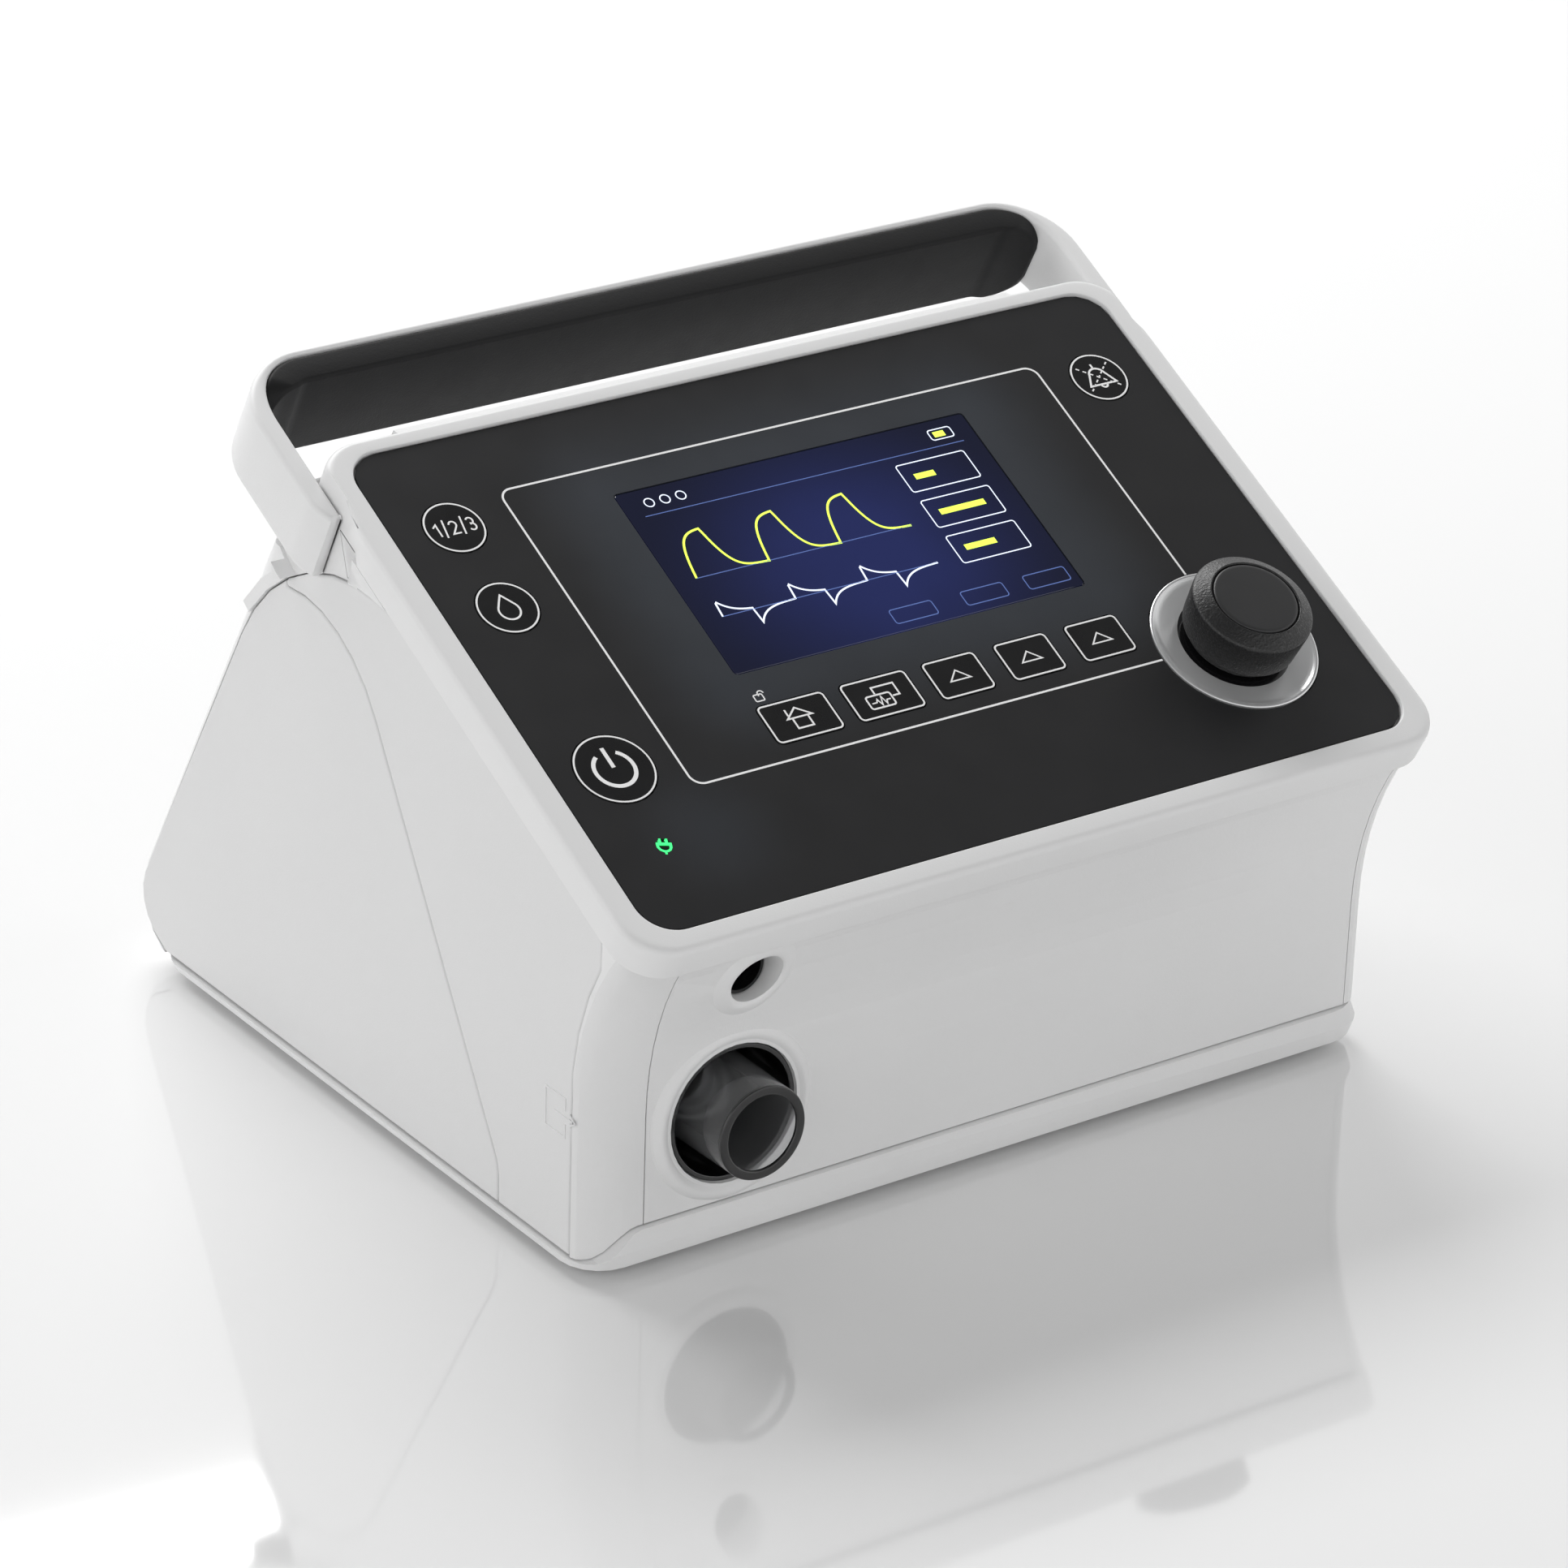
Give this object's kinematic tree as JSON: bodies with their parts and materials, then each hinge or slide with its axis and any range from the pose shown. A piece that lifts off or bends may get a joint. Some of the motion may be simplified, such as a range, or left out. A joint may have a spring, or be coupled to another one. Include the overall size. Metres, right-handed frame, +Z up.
{
  "type": "mechanical ventilator",
  "caption": "Portable ventilator with a tilted control panel, rotary knob, screen, swinging carrying handle and a front hose outlet.",
  "frame": {"origin": "centre of the bounding box on the surface that the feet stand on", "axes": "+Z up, the hose outlet looks along -Y, +X to the right as seen from the front"},
  "size_m": [0.225, 0.2112, 0.1648],
  "materials": {
    "white_plastic": "fine-grained white moulding",
    "grey_plastic": "fine-grained pale grey moulding",
    "charcoal_foil": "satin printed polyester foil",
    "screen_glass": "clear window over a lit navy display",
    "green_lamp": "lit green lens",
    "black_plastic": "fine-grained black moulding",
    "smoke_plastic": "glossy smoke-grey moulding",
    "silver_ring": "turned and polished ring",
    "steel": "plain steel",
    "rubber": "matte moulded rubber",
    "circuit_board": "green solder mask",
    "filter_felt": "white felt",
    "filter_foam": "open-cell grey foam",
    "card_plastic": "dark blue plastic"
  },
  "bodies": {
    "housing": {"alarm_speaker": "black_plastic", "base_screw_front_left": "steel", "base_screw_front_right": "steel", "base_screw_rear_left": "steel", "base_screw_rear_right": "steel", "base_shell": "white_plastic", "battery_pack": "black_plastic", "blower_housing": "grey_plastic", "blower_motor": "steel", "blower_mount": "rubber", "card_slot": "steel", "coarse_filter": "filter_foam", "data_port": "black_plastic", "dial_ring": "silver_ring", "display_bezel": "white_plastic", "display_board": "circuit_board", "display_window": "screen_glass", "encoder_body": "steel", "filter_tray": "grey_plastic", "fine_filter": "filter_felt", "flow_sensor": "black_plastic", "foot_front_left": "rubber", "foot_front_right": "rubber", "foot_rear_left": "rubber", "foot_rear_right": "rubber", "front_cover": "white_plastic", "front_foil": "charcoal_foil", "lcd_module": "steel", "left_side_panel": "grey_plastic", "main_board": "circuit_board", "main_housing": "white_plastic", "mains_lamp": "green_lamp", "outlet_duct": "grey_plastic", "outlet_seal": "rubber", "outlet_socket": "black_plastic", "outlet_tube": "smoke_plastic", "power_inlet": "black_plastic", "pressure_port": "black_plastic", "right_side_panel": "grey_plastic"},
    "handle": {"handle_bail": "white_plastic", "handle_grip": "black_plastic", "handle_pin_left": "steel", "handle_pin_right": "steel"},
    "encoder_push": {"encoder_shaft": "steel"},
    "knob": {"knob_body": "black_plastic", "knob_cap": "black_plastic"},
    "power_key": {"power_key": "charcoal_foil"},
    "humidifier_key": {"humidifier_key": "charcoal_foil"},
    "program_key": {"program_key": "charcoal_foil"},
    "alarm_mute_key": {"alarm_mute_key": "charcoal_foil"},
    "home_key": {"home_key": "charcoal_foil"},
    "monitor_key": {"monitor_key": "charcoal_foil"},
    "function_key_left": {"function_key_left": "charcoal_foil"},
    "function_key_middle": {"function_key_middle": "charcoal_foil"},
    "function_key_right": {"function_key_right": "charcoal_foil"},
    "humidifier_cover": {"humidifier_cover": "grey_plastic"},
    "filter_cover": {"filter_cover": "grey_plastic"},
    "sd_card": {"sd_card": "card_plastic"},
    "impeller": {"blower_impeller": "grey_plastic"}
  },
  "joints": [
    {"name": "handle_swing", "type": "hinge", "parent": "housing", "child": "handle", "pos_m": [0, 0.02498, 0.1379], "axis": [1, 0, 0], "range_deg": [0, 65]},
    {"name": "knob_press", "type": "slide", "parent": "housing", "child": "encoder_push", "axis": [0, 0.4571, -0.8894], "range_m": [0, 0.0008], "stiffness_N_per_m": 1500},
    {"name": "knob_turn", "type": "hinge", "parent": "encoder_push", "child": "knob", "pos_m": [0.0738, -0.07107, 0.10428], "axis": [0, -0.4571, 0.8894], "continuous": true},
    {"name": "power_key_press", "type": "slide", "parent": "housing", "child": "power_key", "axis": [0, 0.4571, -0.8894], "range_m": [0, 0.0005], "stiffness_N_per_m": 600},
    {"name": "humidifier_key_press", "type": "slide", "parent": "housing", "child": "humidifier_key", "axis": [0, 0.4571, -0.8894], "range_m": [0, 0.0005], "stiffness_N_per_m": 600},
    {"name": "program_key_press", "type": "slide", "parent": "housing", "child": "program_key", "axis": [0, 0.4571, -0.8894], "range_m": [0, 0.0005], "stiffness_N_per_m": 600},
    {"name": "alarm_mute_key_press", "type": "slide", "parent": "housing", "child": "alarm_mute_key", "axis": [0, 0.4571, -0.8894], "range_m": [0, 0.0005], "stiffness_N_per_m": 600},
    {"name": "home_key_press", "type": "slide", "parent": "housing", "child": "home_key", "axis": [0, 0.4571, -0.8894], "range_m": [0, 0.0005], "stiffness_N_per_m": 600},
    {"name": "monitor_key_press", "type": "slide", "parent": "housing", "child": "monitor_key", "axis": [0, 0.4571, -0.8894], "range_m": [0, 0.0005], "stiffness_N_per_m": 600},
    {"name": "function_key_left_press", "type": "slide", "parent": "housing", "child": "function_key_left", "axis": [0, 0.4571, -0.8894], "range_m": [0, 0.0005], "stiffness_N_per_m": 600},
    {"name": "function_key_middle_press", "type": "slide", "parent": "housing", "child": "function_key_middle", "axis": [0, 0.4571, -0.8894], "range_m": [0, 0.0005], "stiffness_N_per_m": 600},
    {"name": "function_key_right_press", "type": "slide", "parent": "housing", "child": "function_key_right", "axis": [0, 0.4571, -0.8894], "range_m": [0, 0.0005], "stiffness_N_per_m": 600},
    {"name": "humidifier_cover_off", "type": "slide", "parent": "housing", "child": "humidifier_cover", "axis": [-1, 0, 0], "range_m": [0, 0.03]},
    {"name": "filter_cover_off", "type": "slide", "parent": "housing", "child": "filter_cover", "axis": [1, 0, 0], "range_m": [0, 0.03]},
    {"name": "sd_card_pull", "type": "slide", "parent": "housing", "child": "sd_card", "axis": [1, 0, 0], "range_m": [0, 0.03]},
    {"name": "impeller_spin", "type": "hinge", "parent": "housing", "child": "impeller", "pos_m": [-0.045, 0.022, 0.03], "axis": [0, 0, 1], "continuous": true}
  ]
}
